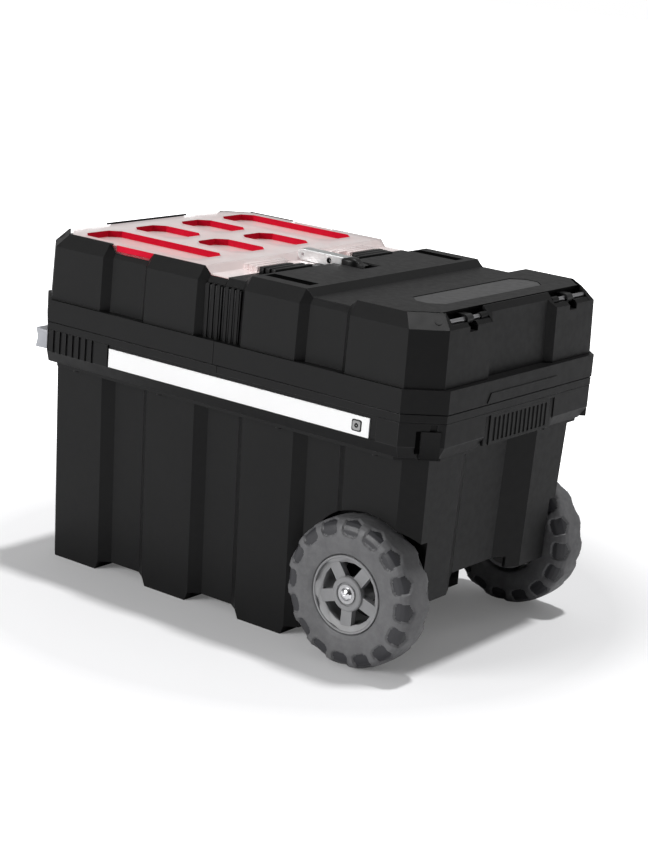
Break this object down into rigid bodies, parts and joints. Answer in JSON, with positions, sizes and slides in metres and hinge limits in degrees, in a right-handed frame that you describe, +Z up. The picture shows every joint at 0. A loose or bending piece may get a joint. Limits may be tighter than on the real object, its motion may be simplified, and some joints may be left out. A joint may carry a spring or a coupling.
{
  "type": "jobsite storage box",
  "caption": "Rolling jobsite storage box: ribbed tub on two wheels with a pull handle, and two sliding top modules, one with a clear lid over bins.",
  "frame": {"origin": "centre of the bounding box at floor level", "axes": "+X along the box from the pull handle to the wheels, +Y from the long front face to the back face, +Z up"},
  "size_m": [0.605, 0.382, 0.42],
  "materials": {
    "body_black": "fine moulded grain",
    "smooth_black": "smooth satin",
    "bin_red": "satin",
    "clear_plastic": "clear, slightly milky",
    "strip_white": "satin",
    "button_grey": "satin",
    "steel": "plated",
    "chrome_cap": "bright plating",
    "tube_aluminium": "anodised",
    "guide_black": "smooth",
    "handle_grey": "fine grain",
    "tyre_grey": "matt, moulded tread",
    "hub_grey": "satin"
  },
  "bodies": {
    "base": {"tub": "body_black", "collar": "body_black", "front_label_strip": "strip_white", "back_label_strip": "strip_white", "strip_buttons": "button_grey", "lift_grip": "body_black", "slide_rails": "guide_black", "stop_blocks": "guide_black", "handle_sleeves": "guide_black", "collar_screws": "steel", "axle": "steel", "wheel_spacers": "guide_black", "axle_washers": "steel", "axle_caps": "chrome_cap"},
    "front_wheel": {"front_tyre": "tyre_grey", "front_hub": "hub_grey", "front_hub_bush": "guide_black"},
    "back_wheel": {"back_tyre": "tyre_grey", "back_hub": "hub_grey", "back_hub_bush": "guide_black"},
    "handle": {"handle_grip": "handle_grey", "handle_tubes": "tube_aluminium", "handle_tube_plugs": "guide_black"},
    "organizer": {"organizer_tray": "body_black", "organizer_skirt": "body_black", "organizer_runners": "guide_black", "organizer_hinge_pins": "steel", "organizer_corner_plugs": "button_grey", "bin_front_long": "bin_red", "bin_back_long": "bin_red", "bin_front_left": "bin_red", "bin_back_left": "bin_red", "bin_front_right": "bin_red", "bin_back_right": "bin_red"},
    "clear_lid": {"clear_lid": "clear_plastic", "lid_edge_inserts": "bin_red", "latch_pin": "steel"},
    "latch": {"latch_plate": "steel", "latch_cheeks": "steel", "latch_thumb_grip": "guide_black"},
    "storage": {"storage_tray": "body_black", "storage_skirt": "body_black", "latch_shelf": "body_black", "storage_runners": "guide_black", "storage_hinge_pins": "steel", "storage_corner_plugs": "button_grey", "padlock_lug": "steel"},
    "storage_lid": {"storage_lid": "body_black", "lid_inlay": "smooth_black"}
  },
  "joints": [
    {"name": "left_slide", "type": "slide", "parent": "base", "child": "organizer", "axis": [-1, 0, 0], "range_m": [0, 0.18]},
    {"name": "right_slide", "type": "slide", "parent": "base", "child": "storage", "axis": [1, 0, 0], "range_m": [0, 0.18]},
    {"name": "clear_lid_hinge", "type": "hinge", "parent": "organizer", "child": "clear_lid", "pos_m": [-0.2785, 0, 0.4035], "axis": [0, -1, 0], "range_deg": [0, 100]},
    {"name": "storage_lid_hinge", "type": "hinge", "parent": "storage", "child": "storage_lid", "pos_m": [0.2835, 0, 0.4035], "axis": [0, 1, 0], "range_deg": [0, 100]},
    {"name": "latch_hinge", "type": "hinge", "parent": "clear_lid", "child": "latch", "pos_m": [-0.0195, 0, 0.413], "axis": [0, -1, 0], "range_deg": [0, 100]},
    {"name": "handle_slide", "type": "slide", "parent": "base", "child": "handle", "axis": [-1, 0, 0], "range_m": [0, 0.38]},
    {"name": "front_wheel_spin", "type": "hinge", "parent": "base", "child": "front_wheel", "pos_m": [0.2143, -0.165, 0.0865], "axis": [0, 1, 0], "continuous": true},
    {"name": "back_wheel_spin", "type": "hinge", "parent": "base", "child": "back_wheel", "pos_m": [0.2143, 0.165, 0.0865], "axis": [0, 1, 0], "continuous": true}
  ]
}
